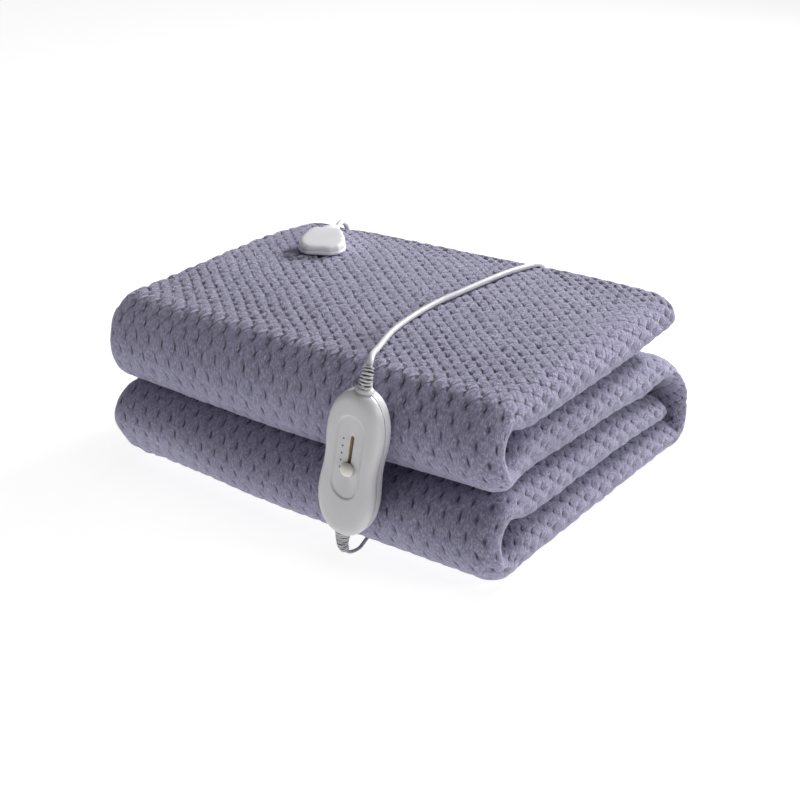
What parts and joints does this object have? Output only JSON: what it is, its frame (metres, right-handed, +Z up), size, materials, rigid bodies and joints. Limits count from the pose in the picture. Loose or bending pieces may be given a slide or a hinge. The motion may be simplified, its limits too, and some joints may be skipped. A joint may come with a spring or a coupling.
{
  "type": "electric underblanket",
  "caption": "Grey fleece electric underblanket folded into a thick bundle, a slide controller on its cord hanging down the front fold, its lead coiled behind.",
  "frame": {"origin": "on the surface that the bundle rests on, under the middle of the bundle with its controller", "axes": "+X to the right along the front folds, +Y to the back, +Z up; the controller and front folds face -Y"},
  "size_m": [0.4029, 0.4345, 0.1786],
  "materials": {
    "fleece": "tufted grey fleece",
    "shell": "pale grey satin",
    "knob": "cream satin",
    "cord": "off-white satin jacket",
    "tie": "white satin",
    "plug": "off-white satin",
    "pins": "nickel plated"
  },
  "bodies": {
    "underblanket": {"blanket": "fleece", "housing_back": "shell", "housing_front": "shell", "relief_upper": "shell", "relief_lower": "shell", "connector_socket": "shell", "connector_plug": "shell", "control_cord": "cord", "mains_lead": "cord", "mains_lead_tail": "cord", "lead_coil": "cord", "coil_tie": "tie", "plug_relief": "cord", "plug_body": "plug", "plug_pin_1": "pins", "plug_pin_2": "pins"},
    "slider": {"slider_knob": "knob"}
  },
  "joints": [
    {"name": "slider_slide", "type": "slide", "parent": "underblanket", "child": "slider", "axis": [0.1719, 0, 0.9851], "range_m": [0, 0.026]}
  ]
}
